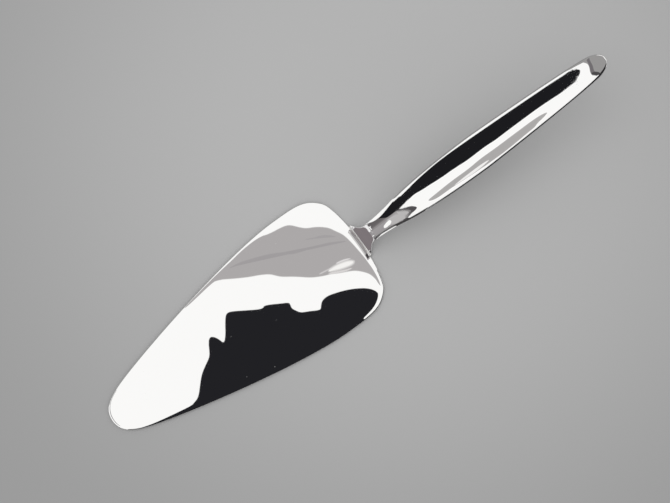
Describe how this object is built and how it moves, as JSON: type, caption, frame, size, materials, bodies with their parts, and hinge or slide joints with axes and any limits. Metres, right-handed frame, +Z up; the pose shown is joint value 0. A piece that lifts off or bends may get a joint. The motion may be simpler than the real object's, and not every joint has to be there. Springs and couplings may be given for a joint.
{
  "type": "cake server",
  "caption": "Cake server with a leaf-shaped flat blade, a steep forged neck and a raised hollow handle with a shallow scoop.",
  "frame": {"origin": "bottom centre of the bounding box, in the plane of the blade's flat underside", "axes": "+X along the length from the blade's tip to the handle's end, +Y to the left of that, +Z up"},
  "size_m": [0.2448, 0.0552, 0.0298],
  "materials": {
    "polished_blade": "mirror polish",
    "polished_neck": "polished",
    "polished_handle": "mirror polish",
    "braze": "polished braze",
    "filling": "hard cement"
  },
  "bodies": {
    "root": {"blade": "polished_blade", "neck": "polished_neck", "foot_braze": "braze", "collar": "polished_neck", "handle_upper_shell": "polished_handle", "handle_lower_shell": "polished_handle", "handle_filling": "filling"}
  },
  "joints": []
}
